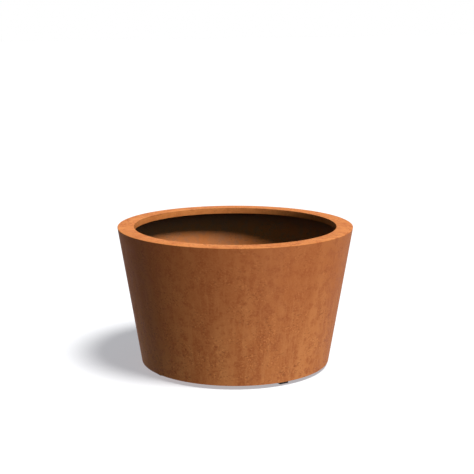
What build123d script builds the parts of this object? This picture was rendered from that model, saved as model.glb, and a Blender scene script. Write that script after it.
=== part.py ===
from build123d import *
import os
from math import cos, degrees, hypot, radians, sin

# Round cone planter, welded from weathering-steel sheet, on four rubber pads.
# Millimetres, Z up. The origin is on the ground, on the planter's axis.
# X and Y run along the two crossed ribs under the base.

# Body
top_diameter = 1200.0
bottom_diameter = 970.0
body_height = 700.0  # from the wall's lower edge to the rim's top face
sheet = 3.0  # wall, rim ring and lip
edge_break = 0.5  # rounding of the free sheet edges

# Rim
rim_width = 84.0  # flat ring, from its outer edge to its bore
rim_depth = 30.0  # from the rim's top face to the lip's lower edge
rim_corner_radius = 1.5  # outer corner, ground round

# Seams, where the rolled wall and the rolled lip close on themselves
seam_azimuth = 135.0
seam_gap = 2.5
seam_bead_width = 8.0
seam_crown = 0.8  # how far the wall's bead stands proud inside, it is ground flush outside

# Base
base_inset = 40.0  # from the wall's lower edge up to the base plate's underside
base_sheet = 3.0
base_fit = 0.3  # gap between the plate's edge and the wall's seam bead
drain_diameter = 30.0
drain_count = 4  # holes in each of the two rings of drain holes
drain_inner_radius = 150.0
drain_edge_distance = 105.0  # from the plate's edge to the centres of the outer holes

# Ribs
rib_sheet = 5.0
rib_fit = 0.5  # gap between a rib's end and the wall, bridged by the weld
slot_fit = 0.25  # on each side of a rib in the other rib's slot

# Feet
foot_azimuths = {"right": 0.0, "back": 90.0, "left": 180.0, "front": 270.0}
foot_height = 20.0
pad_length = 60.0  # along the rib
pad_width = 50.0
pad_setback = 30.0  # from the wall's outer lower edge to the pad's outer end
pad_corner_radius = 4.0
pad_edge_radius = 1.0
plate_border = 7.0  # of the foot plate round the pad
plate_sheet = 4.0
plate_fit = 0.5  # gap between the foot plate and the wall, bridged by the weld
plate_corner_radius = 6.0

# Foot fasteners, M6 countersunk
screw_length = 25.0
screw_radius = 3.0
screw_head_radius = 6.0
screw_chamfer = 0.6
screw_recess = 7.0  # from the ground up to the head's flat face
screw_edge = 9.0  # from the pad's side to the screw's axis
screw_fit = 0.3  # round the screw in its holes
seat_fit = 0.1  # round the head in its seat
socket_width = 4.0
socket_depth = 2.0
nut_width = 10.0
nut_height = 5.0
nut_chamfer = 0.6
thread_fit = 0.05

# Welds
weld_leg = 4.0
weld_bulge = 0.35
weld_root = 0.2  # how deep a section reaches into the wall before the wall trims it
rim_stitch_length = 40.0
rim_stitch_count = 16
base_stitch_length = 80.0
base_stitch_count = 20
rib_weld_leg = 3.0
rib_stitch_length = 30.0
rib_stitch_count = 4  # on each side of each half of a rib
weld_margin = 8.0  # from a weld's end to the end of the edge that it runs along
weld_space = 1.5  # between two welds round a corner

# Places worked out from the sizes above
top_radius = top_diameter / 2
bottom_radius = bottom_diameter / 2
lip_radius = top_radius - rim_width
slope = (top_radius - bottom_radius) / body_height
wall_run = sheet * hypot(1, slope)  # the leaning sheet, measured level
wall_bottom = foot_height
rim_top = foot_height + body_height
wall_top = rim_top - sheet
lip_bottom = rim_top - rim_depth
base_bottom = wall_bottom + base_inset
base_top = base_bottom + base_sheet
plate_top = wall_bottom + plate_sheet
pad_middle = bottom_radius - pad_setback - pad_length / 2
screw_spacing = pad_width - 2 * screw_edge
seat_radius = screw_head_radius + seat_fit


def outer_radius(z):
    """The wall's outer radius at that height."""
    return bottom_radius + slope * (z - wall_bottom)


def inner_radius(z):
    """The wall's inner radius at that height."""
    return outer_radius(z) - wall_run


plate_end = inner_radius(wall_bottom) - plate_fit
plate_length = plate_end - pad_middle + pad_length / 2 + plate_border
plate_width = pad_width + 2 * plate_border
base_radius = inner_radius(base_bottom) - seam_crown - base_fit


def stitch_azimuths(count):
    """The middles of that many stitches round the wall, clear of its seam."""
    return [seam_azimuth + (k + 0.5) * 360 / count for k in range(count)]


def outward(azimuth, radius, z=0):
    """The point at that azimuth, radius and height."""
    return Vector(radius, 0, z).rotate(Axis.Z, azimuth)


def level_plane(azimuth, z):
    """Level, with its origin on the axis and x outwards."""
    return Plane(origin=(0, 0, z), x_dir=outward(azimuth, 1), z_dir=(0, 0, 1))


def upright_plane(azimuth):
    """Upright through the axis, with x outwards and y up."""
    return Plane(origin=(0, 0, 0), x_dir=outward(azimuth, 1), z_dir=outward(azimuth - 90, 1))


def rib_plane(azimuth, distance):
    """Square to a rib at that distance from the axis, with x sideways and y up."""
    sideways = outward(azimuth + 90, 1)
    return Plane(outward(azimuth, distance), x_dir=sideways, z_dir=outward(azimuth, 1))


def wall_plane(azimuth):
    """Square to the wall's inner face at the ground, with x sideways and y inwards."""
    foot_point = outward(azimuth, inner_radius(0))
    return Plane(foot_point, x_dir=outward(azimuth + 90, 1), z_dir=outward(azimuth, slope, 1))


def fillet_weld(corner, first, second):
    """The section of a weld in a corner: two legs and a face that bulges a little."""
    corner, first, second = Vector(*corner), Vector(*first), Vector(*second)
    middle = (first + second) / 2
    crown = middle + (middle - corner).normalized() * weld_bulge
    with BuildLine() as outline:
        Polyline(first, corner, second)
        ThreePointArc(first, crown, second)
    make_face(outline.edges())


def cut_seam():
    """Opens the butt gap of a rolled sheet."""
    with BuildSketch(level_plane(seam_azimuth, 0)) as gap:
        Rectangle(top_diameter, seam_gap, align=(Align.MIN, Align.CENTER))
    extrude(gap.sketch, amount=rim_top, mode=Mode.SUBTRACT)


def trim_level(lower, upper):
    """Keeps what lies between two heights."""
    with BuildSketch(Plane.XY.offset(lower)) as slab:
        Circle(top_diameter)
    extrude(slab.sketch, amount=upper - lower, mode=Mode.INTERSECT)


# Wall: one sheet rolled to a cone
with BuildPart() as wall:
    with BuildSketch(Plane.XZ):
        with BuildLine():
            Polyline(
                (outer_radius(wall_bottom), wall_bottom),
                (outer_radius(wall_top), wall_top),
                (inner_radius(wall_top), wall_top),
                (inner_radius(wall_bottom), wall_bottom),
                close=True,
            )
        make_face()
    revolve(axis=Axis.Z)
    fillet(wall.edges().group_by(Axis.Z)[0], edge_break)
    cut_seam()

# Wall seam: a butt weld that fills the gap, with a low crown inside
with BuildPart() as wall_seam_weld:
    with BuildSketch(wall_plane(seam_azimuth)):
        with BuildLine():
            Polyline(
                (seam_bead_width / 2, -weld_root),
                (seam_gap / 2, -weld_root),
                (seam_gap / 2, -sheet),
                (-seam_gap / 2, -sheet),
                (-seam_gap / 2, -weld_root),
                (-seam_bead_width / 2, -weld_root),
            )
            ThreePointArc(
                (-seam_bead_width / 2, -weld_root), (0, seam_crown), (seam_bead_width / 2, -weld_root)
            )
        make_face()
    extrude(amount=top_diameter)
    trim_level(wall_bottom, wall_top)
    add(wall.part, mode=Mode.SUBTRACT)

# Rim ring: flat, on the wall's upper edge
with BuildPart() as rim_ring:
    with BuildSketch(Plane.XZ):
        with BuildLine():
            Polyline(
                (outer_radius(wall_top), wall_top),
                (top_radius, rim_top),
                (lip_radius, rim_top),
                (lip_radius, wall_top),
                close=True,
            )
        make_face()
    revolve(axis=Axis.Z)
    bore_edge, outer_edge = rim_ring.edges().group_by(Axis.Z)[-1].sort_by(SortBy.RADIUS)
    fillet(outer_edge, rim_corner_radius)
    fillet(bore_edge, edge_break)

# Rim lip: a rolled strip that hangs from the ring's bore
with BuildPart() as rim_lip:
    with BuildSketch(Plane.XY.offset(lip_bottom)):
        Circle(lip_radius + sheet)
        Circle(lip_radius, mode=Mode.SUBTRACT)
    extrude(amount=wall_top - lip_bottom)
    fillet(rim_lip.edges().group_by(Axis.Z)[0], edge_break)
    cut_seam()

# Lip seam: a butt weld, ground flush on both sides
with BuildPart() as lip_seam_weld:
    with BuildSketch(level_plane(seam_azimuth, lip_bottom)):
        Rectangle(top_diameter, seam_gap, align=(Align.MIN, Align.CENTER))
        Circle(lip_radius + sheet, mode=Mode.INTERSECT)
        Circle(lip_radius, mode=Mode.SUBTRACT)
    extrude(amount=wall_top - lip_bottom)

# Rim welds: stitches under the ring, at the wall and at the lip
with BuildPart() as rim_corner_welds:
    corner_arc = degrees(rim_stitch_length / inner_radius(wall_top))
    for azimuth in stitch_azimuths(rim_stitch_count):
        with BuildSketch(upright_plane(azimuth - corner_arc / 2)):
            fillet_weld(
                (inner_radius(wall_top), wall_top),
                (inner_radius(wall_top) - weld_leg, wall_top),
                (inner_radius(wall_top - weld_leg), wall_top - weld_leg),
            )
    revolve(axis=Axis.Z, revolution_arc=corner_arc)

with BuildPart() as lip_welds:
    lip_arc = degrees(rim_stitch_length / (lip_radius + sheet))
    for azimuth in stitch_azimuths(rim_stitch_count):
        with BuildSketch(upright_plane(azimuth - lip_arc / 2)):
            fillet_weld(
                (lip_radius + sheet, wall_top),
                (lip_radius + sheet + weld_leg, wall_top),
                (lip_radius + sheet, wall_top - weld_leg),
            )
    revolve(axis=Axis.Z, revolution_arc=lip_arc)

# Base plate: a disc set up inside the wall, with two rings of drain holes
with BuildPart() as base_plate:
    with BuildSketch(Plane.XY.offset(base_bottom)):
        Circle(base_radius)
        for drain_radius in (drain_inner_radius, base_radius - drain_edge_distance):
            with PolarLocations(drain_radius, drain_count, start_angle=180 / drain_count):
                Circle(drain_diameter / 2, mode=Mode.SUBTRACT)
    extrude(amount=base_sheet)

with BuildPart() as base_welds:
    base_arc = degrees(base_stitch_length / inner_radius(base_top))
    for azimuth in stitch_azimuths(base_stitch_count):
        with BuildSketch(upright_plane(azimuth - base_arc / 2)):
            fillet_weld(
                (inner_radius(base_top), base_top),
                (inner_radius(base_top) - weld_leg, base_top),
                (inner_radius(base_top + weld_leg), base_top + weld_leg),
            )
    revolve(axis=Axis.Z, revolution_arc=base_arc)


# Ribs: two flat bars on edge under the base, halved into each other where they cross
def rib_end(z):
    """Half of a rib's length at that height."""
    return inner_radius(z) - rib_fit


def base_rib(azimuth, slot_bottom, slot_top):
    """A rib from wall to wall, slotted at the axis between two heights."""
    with BuildPart() as rib:
        with BuildSketch(upright_plane(azimuth)):
            with BuildLine():
                Polyline(
                    (-rib_end(plate_top), plate_top),
                    (rib_end(plate_top), plate_top),
                    (rib_end(base_bottom), base_bottom),
                    (-rib_end(base_bottom), base_bottom),
                    close=True,
                )
            make_face()
            with Locations((0, (slot_bottom + slot_top) / 2)):
                Rectangle(rib_sheet + 2 * slot_fit, slot_top - slot_bottom, mode=Mode.SUBTRACT)
        extrude(amount=rib_sheet / 2, both=True)
    return rib


slot_end = (plate_top + base_bottom) / 2
base_rib_x = base_rib(0, slot_end, base_bottom)
base_rib_y = base_rib(90, plate_top, slot_end)

with BuildPart() as rib_welds:
    stitch_pitch = rib_end(base_bottom) / rib_stitch_count
    for azimuth in foot_azimuths.values():
        for k in range(rib_stitch_count):
            start = (k + 0.5) * stitch_pitch - rib_stitch_length / 2
            with BuildSketch(rib_plane(azimuth, start)):
                for side in (-1, 1):
                    fillet_weld(
                        (side * rib_sheet / 2, base_bottom),
                        (side * (rib_sheet / 2 + rib_weld_leg), base_bottom),
                        (side * rib_sheet / 2, base_bottom - rib_weld_leg),
                    )
    extrude(amount=rib_stitch_length)

with BuildPart() as rib_end_welds:
    for azimuth in foot_azimuths.values():
        with BuildSketch(wall_plane(azimuth)):
            for side in (-1, 1):
                fillet_weld(
                    (side * rib_sheet / 2, -weld_root),
                    (side * (rib_sheet / 2 + weld_leg), -weld_root),
                    (side * rib_sheet / 2, weld_leg),
                )
    extrude(amount=top_diameter)
    trim_level(plate_top + weld_margin, base_bottom - weld_margin)
    add(wall.part, mode=Mode.SUBTRACT)


# Feet: a steel plate flush with the wall's lower edge, and a rubber pad screwed under it
def foot_plate(azimuth):
    """The plate follows the wall at its outer end and carries the rib's end."""
    with BuildPart() as plate:
        with BuildSketch(level_plane(azimuth, wall_bottom)) as outline:
            with Locations((plate_end, 0)):
                Rectangle(plate_length, plate_width, align=(Align.MAX, Align.CENTER))
            fillet(outline.vertices().group_by(Axis.X)[0], plate_corner_radius)
            Circle(plate_end, mode=Mode.INTERSECT)
            with Locations((pad_middle, 0)):
                with GridLocations(screw_spacing, screw_spacing, 1, 2):
                    Circle(screw_radius + screw_fit, mode=Mode.SUBTRACT)
        extrude(amount=plate_sheet)
    return plate


def foot_pad(azimuth):
    """The pad's screw holes are countersunk from below, under a bore for the head."""
    seats = Plane(outward(azimuth, pad_middle, screw_recess), outward(azimuth, 1), (0, 0, -1))
    with BuildPart() as pad:
        with BuildSketch(level_plane(azimuth, 0)):
            with Locations((pad_middle, 0)):
                RectangleRounded(pad_length, pad_width, pad_corner_radius)
        extrude(amount=foot_height)
        fillet(pad.faces().sort_by(Axis.Z)[0].edges(), pad_edge_radius)
        with Locations(seats):
            with GridLocations(screw_spacing, screw_spacing, 1, 2):
                CounterSinkHole(screw_radius + screw_fit, seat_radius, counter_sink_angle=90)
    return pad


with BuildPart() as foot_plate_welds:
    weld_radius = inner_radius(plate_top)
    weld_start = rib_sheet / 2 + rib_weld_leg + weld_space
    weld_arc = degrees((plate_width / 2 - weld_space - weld_start) / weld_radius)
    weld_offset = degrees(weld_start / weld_radius)
    for azimuth in foot_azimuths.values():
        for start in (azimuth + weld_offset, azimuth - weld_offset - weld_arc):
            with BuildSketch(upright_plane(start)):
                fillet_weld(
                    (weld_radius, plate_top),
                    (weld_radius - weld_leg, plate_top),
                    (inner_radius(plate_top + weld_leg), plate_top + weld_leg),
                )
    revolve(axis=Axis.Z, revolution_arc=weld_arc)
    for azimuth in foot_azimuths.values():
        with BuildSketch(rib_plane(azimuth, plate_end - plate_length + weld_margin)):
            for side in (-1, 1):
                fillet_weld(
                    (side * rib_sheet / 2, plate_top),
                    (side * (rib_sheet / 2 + rib_weld_leg), plate_top),
                    (side * rib_sheet / 2, plate_top + rib_weld_leg),
                )
    extrude(amount=plate_length - 2 * weld_margin)

# Foot fasteners: one screw and one nut, then all of them in place
with BuildPart() as screw:
    with BuildSketch(Plane.XZ):
        with BuildLine():
            Polyline(
                (0, screw_recess),
                (screw_head_radius, screw_recess),
                (screw_radius, screw_recess + screw_head_radius - screw_radius),
                (screw_radius, screw_recess + screw_length),
                (0, screw_recess + screw_length),
                close=True,
            )
        make_face()
    revolve(axis=Axis.Z)
    chamfer(screw.edges().group_by(Axis.Z)[-1], screw_chamfer)
    with BuildSketch(Plane.XY.offset(screw_recess)):
        RegularPolygon(socket_width / 2, 6, major_radius=False)
    extrude(amount=socket_depth, mode=Mode.SUBTRACT)

with BuildPart() as nut:
    with BuildSketch(Plane.XY.offset(plate_top)) as hexagon:
        RegularPolygon(nut_width / 2, 6, major_radius=False)
        Circle(screw_radius + thread_fit, mode=Mode.SUBTRACT)
    extrude(amount=nut_height)
    corner_edges = nut.edges().group_by(Axis.Z)[0] + nut.edges().group_by(Axis.Z)[-1]
    chamfer(corner_edges.filter_by(GeomType.LINE), nut_chamfer)

with BuildPart() as foot_screws:
    with PolarLocations(pad_middle, len(foot_azimuths)):
        with GridLocations(screw_spacing, screw_spacing, 1, 2):
            add(screw.part)

with BuildPart() as foot_nuts:
    with PolarLocations(pad_middle, len(foot_azimuths)):
        with GridLocations(screw_spacing, screw_spacing, 1, 2):
            add(nut.part)

# Every finished piece under its name, one file each
pieces = {
    "wall": wall,
    "wall_seam_weld": wall_seam_weld,
    "rim_ring": rim_ring,
    "rim_lip": rim_lip,
    "lip_seam_weld": lip_seam_weld,
    "rim_corner_welds": rim_corner_welds,
    "lip_welds": lip_welds,
    "base_plate": base_plate,
    "base_welds": base_welds,
    "base_rib_x": base_rib_x,
    "base_rib_y": base_rib_y,
    "rib_welds": rib_welds,
    "rib_end_welds": rib_end_welds,
    "foot_plate_welds": foot_plate_welds,
    "foot_screws": foot_screws,
    "foot_nuts": foot_nuts,
}
for side, azimuth in foot_azimuths.items():
    pieces["foot_plate_" + side] = foot_plate(azimuth)
    pieces["foot_pad_" + side] = foot_pad(azimuth)

os.makedirs("parts", exist_ok=True)
for name, piece in pieces.items():
    piece.part.label = name
    export_step(piece.part, f"parts/{name}.step")
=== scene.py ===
from math import cos, hypot, pi, radians, sin, sqrt

import bmesh
import bpy
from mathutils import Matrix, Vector


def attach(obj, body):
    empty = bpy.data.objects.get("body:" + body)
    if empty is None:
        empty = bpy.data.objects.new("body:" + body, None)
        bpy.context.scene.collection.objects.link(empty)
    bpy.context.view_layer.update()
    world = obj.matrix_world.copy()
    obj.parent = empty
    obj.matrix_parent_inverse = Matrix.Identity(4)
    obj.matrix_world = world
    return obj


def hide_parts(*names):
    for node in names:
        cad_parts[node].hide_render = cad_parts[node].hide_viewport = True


# Looks of the round cone planter. Metres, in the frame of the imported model:
# Z up, the origin on the ground on the planter's axis, ribs and pads along X and Y.

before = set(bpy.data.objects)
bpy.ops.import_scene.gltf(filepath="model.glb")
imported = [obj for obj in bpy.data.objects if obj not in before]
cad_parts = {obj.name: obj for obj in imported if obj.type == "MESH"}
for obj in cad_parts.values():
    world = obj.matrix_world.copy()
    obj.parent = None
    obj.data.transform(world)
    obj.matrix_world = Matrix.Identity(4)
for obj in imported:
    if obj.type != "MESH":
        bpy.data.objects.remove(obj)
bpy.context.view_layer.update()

# Sizes of the part
TOP_RADIUS = 0.600
BOTTOM_RADIUS = 0.485
BODY_HEIGHT = 0.700
SHEET = 0.003
LIP_RADIUS = 0.516
LIP_DEPTH = 0.030
RIM_CORNER = 0.0015
EDGE_BREAK = 0.0005
FOOT_HEIGHT = 0.020
BASE_INSET = 0.040
PLATE_SHEET = 0.004
PLATE_WIDTH = 0.064
PLATE_START = 0.388
RIB_SHEET = 0.005
RIB_END_GAP = 0.0005
SEAM_AZIMUTH = 135
FOOT_AZIMUTHS = {"right": 0, "back": 90, "left": 180, "front": 270}
FACET_TRIM = 0.0002  # keeps the true circles inside the box of the frame's facets

SLOPE = (TOP_RADIUS - BOTTOM_RADIUS) / BODY_HEIGHT
LEAN = 9.3  # of the wall, in degrees, rounded
WALL_RUN = SHEET * hypot(1, SLOPE)
WALL_BOTTOM = FOOT_HEIGHT
RIM_TOP = FOOT_HEIGHT + BODY_HEIGHT
WALL_TOP = RIM_TOP - SHEET
BASE_BOTTOM = WALL_BOTTOM + BASE_INSET
BASE_TOP = BASE_BOTTOM + SHEET
PLATE_TOP = WALL_BOTTOM + PLATE_SHEET

# Welds
WELD_LEG = 0.004
RIB_WELD_LEG = 0.003
BEAD_ROOT = 0.0001  # how far a bead's root lies in its corner
BEAD_CROWN = 0.0004
RIPPLE_HEIGHT = 0.00035
RIPPLE_PITCH = 0.0024
RIPPLE_LAG = 0.7  # how far the middle of a crescent wave trails, in pitches
RIPPLE_STEPS = 5
FLAT_RIPPLE = 0.25  # as a share of a flat bead's crown
SECTION_STEPS = 6
RIM_STITCHES = 16
RIM_STITCH = 0.040
BASE_STITCHES = 20
BASE_STITCH = 0.080
WALL_SEAM_WIDTH = 0.008
WALL_SEAM_CROWN = 0.0008
LIP_SEAM_WIDTH = 0.005
LIP_SEAM_CROWN = 0.0002
LIP_SEAM_MARGIN = 0.001

# Smoothness
TURN_STEPS = 360
WALL_STEPS = 24
ROUND_STEPS = 6
SHARP_ANGLE = 38


def outer_radius(z):
    """The wall's outer radius at that height."""
    return BOTTOM_RADIUS - FACET_TRIM + SLOPE * (z - WALL_BOTTOM)


def inner_radius(z):
    """The wall's inner radius at that height, as the frame has it."""
    return BOTTOM_RADIUS + SLOPE * (z - WALL_BOTTOM) - WALL_RUN


def outward(azimuth):
    """The level direction at that azimuth."""
    return Vector((cos(radians(azimuth)), sin(radians(azimuth)), 0))


UP = Vector((0, 0, 1))


# Node trees
def is_socket(value):
    """Whether the value comes from another node."""
    return isinstance(value, bpy.types.NodeSocket)


def feed(tree, socket, value):
    """Links the socket to a value from another node, or sets it to a plain one."""
    if is_socket(value):
        tree.links.new(value, socket)
    else:
        socket.default_value = value


def add_node(tree, kind, settings=None, **inputs):
    """Adds a shader node with these settings, and feeds its inputs."""
    made = tree.nodes.new("ShaderNode" + kind)
    for name, value in (settings or {}).items():
        setattr(made, name, value)
    for name, value in inputs.items():
        feed(tree, made.inputs[name.replace("_", " ")], value)
    return made


def noise(tree, scale, detail, roughness, stretch=(1, 1, 1)):
    """Noise in the object's own metres. A stretch below 1 draws it out along that axis."""
    coordinates = add_node(tree, "TexCoord").outputs["Object"]
    mapping = add_node(tree, "Mapping", Vector=coordinates, Scale=stretch)
    texture = add_node(
        tree, "TexNoise", Vector=mapping.outputs[0], Scale=scale, Detail=detail, Roughness=roughness
    )
    return texture.outputs[0]


def ranged(tree, value, low, high, to_low=0.0, to_high=1.0):
    """A soft step of the value between two levels."""
    step = add_node(
        tree, "MapRange", {"interpolation_type": "SMOOTHSTEP"},
        Value=value, From_Min=low, From_Max=high, To_Min=to_low, To_Max=to_high,
    )
    return step.outputs[0]


def times(tree, first, second):
    """The product of two values."""
    product = add_node(tree, "Math", {"operation": "MULTIPLY"})
    for socket, value in zip(product.inputs, (first, second)):
        feed(tree, socket, value)
    return product.outputs[0]


def tinted(tree, factor, base, colour):
    """The base colour, mixed towards another one by the factor."""
    mix = tree.nodes.new("ShaderNodeMix")
    mix.data_type = "RGBA"
    tree.links.new(factor, mix.inputs[0])
    for socket, value in ((mix.inputs[6], base), (mix.inputs[7], colour)):
        feed(tree, socket, value if is_socket(value) else (*value, 1))
    return mix.outputs[2]


def new_material(name):
    """An empty Principled material: its tree and its shader."""
    material = bpy.data.materials.new(name)
    material.use_nodes = True
    tree = material.node_tree
    return material, tree, tree.nodes["Principled BSDF"]


def add_bump(tree, shader, height, strength, distance):
    """Relief from a height value, in metres at full strength."""
    bump = add_node(tree, "Bump", Height=height, Strength=strength, Distance=distance)
    tree.links.new(bump.outputs[0], shader.inputs["Normal"])


DARKER, LIGHTER = 0.5, 1.25  # specks and dots against the dark and the light colour


def rust(
    name, middle, dark, light, specks, streaks, mottle,
    painted_shade=0.0, shade_from=0.05, shade_to=0.75, gloss=0.15, relief=0.0004,
):
    """Stable rust of three colours: clouds, rain streaks, fine grain, dark specks and light dots.
    Specks, streaks and mottle say how strong these are, and the painted shade how far the whole
    turns to the dark colour between two heights.
    """
    material, tree, shader = new_material(name)
    clouds = noise(tree, scale=4.5, detail=5, roughness=0.6, stretch=(1, 1, 0.5))
    blotches = noise(tree, scale=24, detail=6, roughness=0.62)
    grain = noise(tree, scale=110, detail=6, roughness=0.65)
    bands = noise(tree, scale=6.5, detail=3, roughness=0.5, stretch=(1, 1, 0.05))
    runs = noise(tree, scale=40, detail=5, roughness=0.6, stretch=(1, 1, 0.06))
    pits = noise(tree, scale=80, detail=3, roughness=0.5, stretch=(1, 1, 1.6))
    dots = noise(tree, scale=105, detail=2, roughness=0.5)
    places = noise(tree, scale=10, detail=3, roughness=0.6)
    colour = tinted(tree, ranged(tree, clouds, 0.4, 0.62, to_high=mottle), middle, light)
    colour = tinted(tree, ranged(tree, bands, 0.44, 0.6, to_high=streaks), colour, dark)
    colour = tinted(tree, ranged(tree, blotches, 0.46, 0.62, to_high=mottle), colour, dark)
    colour = tinted(tree, ranged(tree, runs, 0.5, 0.66, to_high=streaks), colour, light)
    colour = tinted(tree, ranged(tree, grain, 0.45, 0.6, to_high=mottle / 2), colour, light)
    where = ranged(tree, places, 0.42, 0.56)
    speck = times(tree, ranged(tree, pits, 0.54, 0.66, to_high=specks), where)
    colour = tinted(tree, speck, colour, [part * DARKER for part in dark])
    dot = times(tree, ranged(tree, dots, 0.57, 0.66, to_high=specks), where)
    colour = tinted(tree, dot, colour, [part * LIGHTER for part in light])
    # Painted shade: between two heights the whole turns towards the dark colour.
    height = add_node(tree, "SeparateXYZ", Vector=add_node(tree, "TexCoord").outputs["Object"])
    painted_shade_up = ranged(tree, height.outputs["Z"], shade_from, shade_to, to_high=painted_shade)
    colour = tinted(tree, painted_shade_up, colour, dark)
    roughness = ranged(tree, blotches, 0.35, 0.65, to_low=0.69, to_high=0.61)
    tree.links.new(colour, shader.inputs["Base Color"])
    tree.links.new(roughness, shader.inputs["Roughness"])
    shader.inputs["Specular IOR Level"].default_value = gloss
    add_bump(tree, shader, grain, strength=0.6, distance=relief)
    return material


def rubber(name):
    """Moulded black rubber with rust dust on it."""
    material, tree, shader = new_material(name)
    dust = noise(tree, scale=60, detail=5, roughness=0.6)
    grain = noise(tree, scale=900, detail=3, roughness=0.6)
    black, rust_dust = (0.012, 0.009, 0.007), (0.060, 0.026, 0.013)
    colour = tinted(tree, ranged(tree, dust, 0.45, 0.75, to_high=0.6), black, rust_dust)
    roughness = ranged(tree, dust, 0.3, 0.7, to_low=0.62, to_high=0.85)
    tree.links.new(colour, shader.inputs["Base Color"])
    tree.links.new(roughness, shader.inputs["Roughness"])
    shader.inputs["Specular IOR Level"].default_value = 0.2
    add_bump(tree, shader, grain, strength=0.5, distance=0.0002)
    return material


def stainless(name):
    """Turned stainless steel with faint marks and a little rust dust."""
    material, tree, shader = new_material(name)
    marks = noise(tree, scale=1500, detail=4, roughness=0.6, stretch=(1, 1, 0.2))
    dust = noise(tree, scale=240, detail=4, roughness=0.6)
    steel, rust_dust = (0.6, 0.59, 0.57), (0.3, 0.16, 0.09)
    colour = tinted(tree, ranged(tree, dust, 0.5, 0.8, to_high=0.7), steel, rust_dust)
    roughness = ranged(tree, marks, 0.3, 0.7, to_low=0.28, to_high=0.48)
    tree.links.new(colour, shader.inputs["Base Color"])
    tree.links.new(roughness, shader.inputs["Roughness"])
    shader.inputs["Metallic"].default_value = 1
    add_bump(tree, shader, marks, strength=0.3, distance=0.0001)
    return material


# Meshes
def finished(name, mesh_data, material, slot, *nodes):
    """Makes a piece from bmesh data: smooth, in its material, riding, in place of its nodes."""
    bmesh.ops.recalc_face_normals(mesh_data, faces=mesh_data.faces)
    mesh = bpy.data.meshes.new(name)
    mesh_data.to_mesh(mesh)
    mesh_data.free()
    mesh.polygons.foreach_set("use_smooth", [True] * len(mesh.polygons))
    mesh.set_sharp_from_angle(angle=radians(SHARP_ANGLE))
    mesh.materials.append(material)
    piece = bpy.data.objects.new(name, mesh)
    bpy.context.scene.collection.objects.link(piece)
    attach(piece, "root")
    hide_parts(*nodes)
    return piece


def line_inside(piece, material):
    """Gives the faces that look at the axis a material of their own."""
    piece.data.materials.append(material)
    for face in piece.data.polygons:
        if face.normal.x * face.center.x + face.normal.y * face.center.y < 0:
            face.material_index = 1


def tube(mesh_data, rings, closed):
    """Skins a row of rings of points, and closes it to a loop or caps its two ends."""
    rows = [[mesh_data.verts.new(point) for point in ring] for ring in rings]
    count = len(rows[0])
    for k in range(len(rows) if closed else len(rows) - 1):
        first, second = rows[k], rows[(k + 1) % len(rows)]
        for j in range(count):
            n = (j + 1) % count
            mesh_data.faces.new((first[j], first[n], second[n], second[j]))
    if not closed:
        mesh_data.faces.new(rows[0])
        mesh_data.faces.new(rows[-1])


def revolved(profile):
    """A ring with that closed profile of (radius, height) points."""
    mesh_data = bmesh.new()
    rings = []
    for k in range(TURN_STEPS):
        direction = outward(360 * k / TURN_STEPS)
        rings.append([direction * radius + UP * z for radius, z in profile])
    tube(mesh_data, rings, True)
    return mesh_data


def rounding(radius, z, size, start, end):
    """Points of a rounded corner about its centre, from one angle to another."""
    turns = [radians(start + (end - start) * k / ROUND_STEPS) for k in range(ROUND_STEPS + 1)]
    return [(radius + size * cos(turn), z + size * sin(turn)) for turn in turns]


def wall_profile():
    """The leaning sheet with broken lower edges."""
    low = WALL_BOTTOM + EDGE_BREAK
    heights = [low + (WALL_TOP - low) * k / WALL_STEPS for k in range(WALL_STEPS + 1)]
    outer = [(outer_radius(z), z) for z in heights]
    inner = [(inner_radius(z), z) for z in reversed(heights)]
    inner_edge = rounding(inner_radius(low) + EDGE_BREAK, low, EDGE_BREAK, 180, 270)
    outer_edge = rounding(outer_radius(low) - EDGE_BREAK, low, EDGE_BREAK, 270, 360)
    return outer + inner + inner_edge[1:] + outer_edge[:-1]


def ring_profile():
    """The flat rim with its ground outer corner and broken bore edge."""
    centre = TOP_RADIUS - FACET_TRIM - RIM_CORNER * (hypot(1, SLOPE) + SLOPE)
    corner = rounding(centre, RIM_TOP - RIM_CORNER, RIM_CORNER, -LEAN, 90)
    bore = rounding(LIP_RADIUS + EDGE_BREAK, RIM_TOP - EDGE_BREAK, EDGE_BREAK, 90, 180)
    return [(outer_radius(WALL_TOP), WALL_TOP)] + corner + bore + [(LIP_RADIUS, WALL_TOP)]


def lip_profile():
    """The strip that hangs from the bore, with broken lower edges."""
    low = RIM_TOP - LIP_DEPTH + EDGE_BREAK
    outer = LIP_RADIUS + SHEET
    inner_edge = rounding(LIP_RADIUS + EDGE_BREAK, low, EDGE_BREAK, 180, 270)
    outer_edge = rounding(outer - EDGE_BREAK, low, EDGE_BREAK, 270, 360)
    return inner_edge + outer_edge + [(outer, WALL_TOP), (LIP_RADIUS, WALL_TOP)]


def stations(length, fewest=6):
    """Distances along a bead, some for each ripple."""
    count = max(fewest, round(length / RIPPLE_PITCH) * RIPPLE_STEPS)
    return [length * k / count for k in range(count + 1)]


def ripple(distance, across):
    """Crescent waves of a hand-laid bead, from 0 to 1. Across runs from 0 to 1 over its face."""
    phase = distance / RIPPLE_PITCH + RIPPLE_LAG * sin(pi * across)
    return abs(sin(pi * phase))


def end_taper(distance, length, reach, blunt=0.05):
    """Rounds off a bead towards its two ends, which stay a little blunt."""
    near = min(1, min(distance, length - distance) / reach + blunt)
    return sqrt(1 - (1 - near) ** 2)


def corner_bead(mesh_data, place, length, leg):
    """A rippled bead in a corner. place gives the corner and its two directions at a distance."""
    rings = []
    for distance in stations(length):
        corner, first, second = place(distance)
        size = end_taper(distance, length, leg)
        ring = [corner - (first + second) * BEAD_ROOT]
        for j in range(SECTION_STEPS + 1):
            across = j / SECTION_STEPS
            turn = across * pi / 2
            reach = leg / (cos(turn) + sin(turn))
            reach += sin(pi * across) * (BEAD_CROWN + RIPPLE_HEIGHT * ripple(distance, across))
            ring.append(corner + (first * cos(turn) + second * sin(turn)) * reach * size)
        rings.append(ring)
    tube(mesh_data, rings, False)


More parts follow.
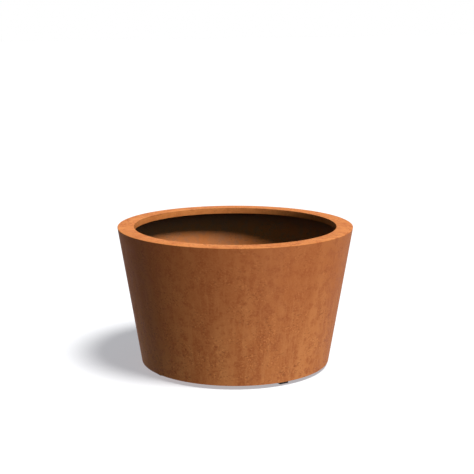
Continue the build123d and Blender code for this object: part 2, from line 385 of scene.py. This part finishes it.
def flat_bead(mesh_data, place, length, width, crown):
    """A low rippled bead on a face. place gives its middle, its sideways and its outward way."""
    rings = []
    for distance in stations(length):
        middle, sideways, outwards = place(distance)
        size = end_taper(distance, length, width)
        ring = []
        for j in range(SECTION_STEPS * 2 + 1):
            across = j / (SECTION_STEPS * 2)
            wave = 1 - FLAT_RIPPLE + FLAT_RIPPLE * ripple(distance, across)
            rise = sin(pi * across) * crown * wave
            ring.append(middle + sideways * (across - 0.5) * width * size + outwards * rise * size)
        ring.append(middle - outwards * crown / 4)
        rings.append(ring)
    tube(mesh_data, rings, False)


def arc_place(radius, z, azimuth, length, first, second):
    """Along an arc round the axis. The two directions are (outward, up) pairs."""
    start = azimuth - length / radius * 90 / pi

    def place(distance):
        direction = outward(start + distance / radius * 180 / pi)
        ways = [(direction * way[0] + UP * way[1]).normalized() for way in (first, second)]
        return direction * radius + UP * z, *ways

    return place


def line_place(start, along, first, second):
    """Along a straight line."""
    return lambda distance: (start + along * distance, first, second)


def stitch_azimuths(count):
    """The middles of that many stitches round the wall, clear of its seam."""
    return [SEAM_AZIMUTH + (k + 0.5) * 360 / count for k in range(count)]


# Ways of a weld's legs, as (outward, up) pairs
INWARD, OUTWARD, DOWN = (-1, 0), (1, 0), (0, -1)
UP_WALL, DOWN_WALL = (SLOPE, 1), (-SLOPE, -1)


def arc_beads(radius, z, azimuths, length, first, second):
    """One bead of that length at each azimuth."""
    mesh_data = bmesh.new()
    for azimuth in azimuths:
        place = arc_place(radius, z, azimuth, length, first, second)
        corner_bead(mesh_data, place, length, WELD_LEG)
    return mesh_data


def rib_faces():
    """Both faces of each of the ribs' four arms: the arm's direction and the face's."""
    for azimuth in FOOT_AZIMUTHS.values():
        for side in (-1, 1):
            yield outward(azimuth), outward(azimuth + 90) * side


def rib_beads(length=0.030, count=4):
    """Stitches between the ribs and the base plate, so many on each face of an arm."""
    mesh_data = bmesh.new()
    pitch = (inner_radius(BASE_BOTTOM) - RIB_END_GAP) / count
    for along, sideways in rib_faces():
        for k in range(count):
            start = along * ((k + 0.5) * pitch - length / 2) + sideways * RIB_SHEET / 2
            place = line_place(start + UP * BASE_BOTTOM, along, sideways, -UP)
            corner_bead(mesh_data, place, length, RIB_WELD_LEG)
    return mesh_data


def rib_end_beads(margin=0.008):
    """Upright beads between the ribs' ends and the wall."""
    mesh_data = bmesh.new()
    low, high = PLATE_TOP + margin, BASE_BOTTOM - margin
    for direction, sideways in rib_faces():
        along = (direction * SLOPE + UP).normalized()
        start = direction * inner_radius(low) + UP * low + sideways * RIB_SHEET / 2
        place = line_place(start, along, sideways, -direction)
        corner_bead(mesh_data, place, high - low, WELD_LEG)
    return mesh_data


def foot_plate_beads(margin=0.008, space=0.0015):
    """Beads between the foot plates and the wall, and along the ribs on them."""
    radius = inner_radius(PLATE_TOP)
    first_end = RIB_SHEET / 2 + RIB_WELD_LEG + space
    arc = PLATE_WIDTH / 2 - space - first_end
    middle = (first_end + arc / 2) / radius * 180 / pi
    azimuths = [azimuth + side * middle for azimuth in FOOT_AZIMUTHS.values() for side in (-1, 1)]
    mesh_data = arc_beads(radius, PLATE_TOP, azimuths, arc, INWARD, UP_WALL)
    start_radius = PLATE_START + margin
    length = inner_radius(WALL_BOTTOM) - RIB_END_GAP - margin - start_radius
    for along, sideways in rib_faces():
        start = along * start_radius + sideways * RIB_SHEET / 2 + UP * PLATE_TOP
        corner_bead(mesh_data, line_place(start, along, sideways, UP), length, RIB_WELD_LEG)
    return mesh_data


def wall_seam():
    """The bead that closes the wall, inside, from the lower edge to the ring."""
    mesh_data = bmesh.new()
    direction, sideways = outward(SEAM_AZIMUTH), outward(SEAM_AZIMUTH + 90)
    along = (direction * SLOPE + UP).normalized()
    inwards = (UP * SLOPE - direction).normalized()
    start = direction * inner_radius(WALL_BOTTOM) + UP * WALL_BOTTOM
    length = (WALL_TOP - WALL_BOTTOM) * hypot(1, SLOPE)
    place = line_place(start, along, sideways, inwards)
    flat_bead(mesh_data, place, length, WALL_SEAM_WIDTH, WALL_SEAM_CROWN)
    return mesh_data


def lip_seam():
    """The ground bead that closes the lip, a trace proud on its inner face."""
    mesh_data = bmesh.new()
    direction, sideways = outward(SEAM_AZIMUTH), outward(SEAM_AZIMUTH + 90)
    start = direction * LIP_RADIUS + UP * (RIM_TOP - LIP_DEPTH + LIP_SEAM_MARGIN)
    length = LIP_DEPTH - SHEET - LIP_SEAM_MARGIN
    place = line_place(start, UP, sideways, -direction)
    flat_bead(mesh_data, place, length, LIP_SEAM_WIDTH, LIP_SEAM_CROWN)
    return mesh_data


# Camera of the photograph
CAMERA_PLACE = (-3.0712, -4.9320, 1.7908)
CAMERA_TILT = 78.957
CAMERA_TURN = -32
SENSOR_WIDTH = 36
FOCAL_LENGTH = 87.795
FARTHEST = 400


def add_camera():
    """A standing person's view from the front left."""
    data = bpy.data.cameras.new("camera")
    data.sensor_width = SENSOR_WIDTH
    data.lens = FOCAL_LENGTH
    data.clip_end = FARTHEST
    camera = bpy.data.objects.new("camera", data)
    camera.location = CAMERA_PLACE
    camera.rotation_euler = (radians(CAMERA_TILT), 0, radians(CAMERA_TURN))
    bpy.context.scene.collection.objects.link(camera)
    bpy.context.scene.camera = camera


# Light
SHADOW_AZIMUTH = 140
FRONT_AZIMUTH = -110
SKY, GROUND = (0.085, 0.155, 0.170), (0.40, 0.40, 0.40)
MIRRORED = (0.96, 0.98, 1, 1)
WHITE = (1, 1, 1, 1)
FLOOR_GREY = (0.47, 0.47, 0.47, 1)
FLOOR_GLOW = (0.98, 0.955, 1, 1)
GLOW_STRENGTH = 0.425


def add_sun(name, azimuth, elevation, strength, angle, bounces):
    """A distant soft lamp in that direction, with so many bounces of its light."""
    data = bpy.data.lights.new(name, "SUN")
    data.energy = strength
    data.angle = radians(angle)
    data.cycles.max_bounces = bounces
    lamp = bpy.data.objects.new(name, data)
    to_lamp = outward(azimuth) * cos(radians(elevation)) + UP * sin(radians(elevation))
    lamp.rotation_euler = to_lamp.to_track_quat("Z", "Y").to_euler()
    bpy.context.scene.collection.objects.link(lamp)


def towards(tree, azimuth):
    """How far a ray into the world goes that way, from -1 to 1."""
    ray = add_node(tree, "TexCoord").outputs["Generated"]
    dot = add_node(tree, "VectorMath", {"operation": "DOT_PRODUCT"}, Vector=ray)
    dot.inputs[1].default_value = outward(azimuth)
    return dot.outputs["Value"]


def switched(tree, factor, usual, chosen):
    """The usual shader, or the chosen one where the factor is 1."""
    mix = add_node(tree, "MixShader", Fac=factor)
    tree.links.new(usual.outputs[0], mix.inputs[1])
    tree.links.new(chosen.outputs[0], mix.inputs[2])
    return mix


def add_world():
    """White room: cool and dim from above, brighter from below, dark where the shadow lies.
    It is mirrored most at both sides.
    """
    world = bpy.data.worlds.new("studio")
    bpy.context.scene.world = world
    world.use_nodes = True
    world.cycles.sampling_method = "NONE"
    tree = world.node_tree
    tree.nodes.clear()
    rays = add_node(tree, "LightPath")
    ray = add_node(tree, "TexCoord").outputs["Generated"]
    upper = ranged(tree, add_node(tree, "SeparateXYZ", Vector=ray).outputs["Z"], -0.1, 0.1)
    colour = tinted(tree, upper, GROUND, SKY)
    shaded = ranged(tree, towards(tree, SHADOW_AZIMUTH), -0.4, 0.9, to_low=1.0, to_high=0.1)
    ambient = add_node(tree, "Background", Color=colour, Strength=shaded)
    front = towards(tree, FRONT_AZIMUTH)
    less_in_front = ranged(tree, front, -0.2, 0.7, to_low=1.25, to_high=0.5)
    less_behind = ranged(tree, front, -1.0, -0.5, to_low=0.6, to_high=1.0)
    sides = times(tree, less_in_front, less_behind)
    mirrored = add_node(tree, "Background", Color=MIRRORED, Strength=sides)
    seen = add_node(tree, "Background", Color=WHITE, Strength=1.0)
    lighting = switched(tree, rays.outputs["Is Glossy Ray"], ambient, mirrored)
    room = switched(tree, rays.outputs["Is Camera Ray"], lighting, seen)
    output = add_node(tree, "OutputWorld")
    tree.links.new(room.outputs[0], output.inputs["Surface"])


def add_floor(half_side=60):
    """Plain pale floor. It glows a little, which keeps the shadow on it light."""
    mesh_data = bmesh.new()
    bmesh.ops.create_grid(mesh_data, x_segments=1, y_segments=1, size=half_side)
    mesh = bpy.data.meshes.new("floor")
    mesh_data.to_mesh(mesh)
    mesh_data.free()
    floor = bpy.data.objects.new("floor", mesh)
    bpy.context.scene.collection.objects.link(floor)
    material, tree, shader = new_material("pale_floor")
    shader.inputs["Base Color"].default_value = FLOOR_GREY
    shader.inputs["Roughness"].default_value = 1
    shader.inputs["Specular IOR Level"].default_value = 0
    shader.inputs["Emission Color"].default_value = FLOOR_GLOW
    shader.inputs["Emission Strength"].default_value = GLOW_STRENGTH
    mesh.materials.append(material)
    floor.visible_diffuse = False
    floor.visible_glossy = False
    floor.visible_shadow = False


add_camera()
bpy.context.scene.view_settings.view_transform = "Standard"
add_world()
add_floor()
add_sun("key", azimuth=-75, elevation=65.5, strength=4.9, angle=19, bounces=0)
add_sun("floor_bounce", azimuth=-81, elevation=-12, strength=1.42, angle=8, bounces=1)

# Materials
# The wall turns darker towards its top: painted shade, where less light comes up from the floor.
wall_rust = rust(
    "wall_rust", (0.430, 0.134, 0.036), (0.320, 0.080, 0.019), (0.51, 0.187, 0.058),
    specks=0.5, streaks=0.5, mottle=0.8, painted_shade=0.5,
)
# Inside, the rust is painted far lighter than the wall's: painted light. Near the rim it turns
# darker and greyer: painted shade under the rim.
inner_rust_painted_light_and_shade = rust(
    "inner_rust_painted_light_and_shade", (0.66, 0.207, 0.056), (0.36, 0.190, 0.115), (0.70, 0.250, 0.080),
    specks=0.3, streaks=0.2, mottle=0.3, painted_shade=0.8, shade_from=0.58, shade_to=0.69,
)
rim_rust = rust(
    "rim_rust", (0.510, 0.172, 0.049), (0.385, 0.105, 0.028), (0.58, 0.210, 0.066),
    specks=0.6, streaks=0.3, mottle=0.9, gloss=0.05, relief=0.0002,
)
# The lip's rust is painted far lighter than the wall's: painted light.
lip_rust_painted_light = rust(
    "lip_rust_painted_light", (0.78, 0.245, 0.060), (0.64, 0.185, 0.046), (0.84, 0.290, 0.080),
    specks=0.35, streaks=0.15, mottle=0.55, relief=0.0002,
)
base_rust = rust(
    "base_rust", (0.36, 0.115, 0.036), (0.20, 0.066, 0.026), (0.47, 0.17, 0.06),
    specks=0.8, streaks=0.0, mottle=0.8, relief=0.0006,
)
weld_rust = rust(
    "weld_rust", (0.20, 0.075, 0.035), (0.10, 0.045, 0.028), (0.34, 0.13, 0.055),
    specks=0.4, streaks=0.0, mottle=0.7, gloss=0.5, relief=0.0002,
)
pad_rubber = rubber("pad_rubber")
screw_steel = stainless("screw_steel")

# Rolled pieces
STEEL, WELD = "weathering_steel", "weld_metal"
wall_sheet = finished("wall_sheet", revolved(wall_profile()), wall_rust, STEEL, "wall")
line_inside(wall_sheet, inner_rust_painted_light_and_shade)
finished("rim", revolved(ring_profile()), rim_rust, STEEL, "rim_ring")
finished("lip", revolved(lip_profile()), lip_rust_painted_light, STEEL, "rim_lip")

# Welds
finished("wall_seam", wall_seam(), weld_rust, WELD, "wall_seam_weld")
finished("lip_seam", lip_seam(), weld_rust, WELD, "lip_seam_weld")
finished(
    "rim_corner_beads",
    arc_beads(
        inner_radius(WALL_TOP), WALL_TOP, stitch_azimuths(RIM_STITCHES), RIM_STITCH,
        INWARD, DOWN_WALL,
    ),
    weld_rust, WELD, "rim_corner_welds",
)
finished(
    "lip_beads",
    arc_beads(
        LIP_RADIUS + SHEET, WALL_TOP, stitch_azimuths(RIM_STITCHES), RIM_STITCH, OUTWARD, DOWN,
    ),
    weld_rust, WELD, "lip_welds",
)
finished(
    "base_beads",
    arc_beads(
        inner_radius(BASE_TOP), BASE_TOP, stitch_azimuths(BASE_STITCHES), BASE_STITCH,
        INWARD, UP_WALL,
    ),
    weld_rust, WELD, "base_welds",
)
finished("rib_beads", rib_beads(), weld_rust, WELD, "rib_welds")
finished("rib_end_beads", rib_end_beads(), weld_rust, WELD, "rib_end_welds")
finished("foot_plate_beads", foot_plate_beads(), weld_rust, WELD, "foot_plate_welds")

# Materials of the nodes that stay as the frame has them
node_materials = {
    "base_plate": base_rust,
    "base_rib_x": base_rust,
    "base_rib_y": base_rust,
    "foot_screws": screw_steel,
    "foot_nuts": screw_steel,
}
for side in FOOT_AZIMUTHS:
    node_materials["foot_plate_" + side] = base_rust
    node_materials["foot_pad_" + side] = pad_rubber
for name, material in node_materials.items():
    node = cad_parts[name]
    node.data.materials.clear()
    node.data.materials.append(material)
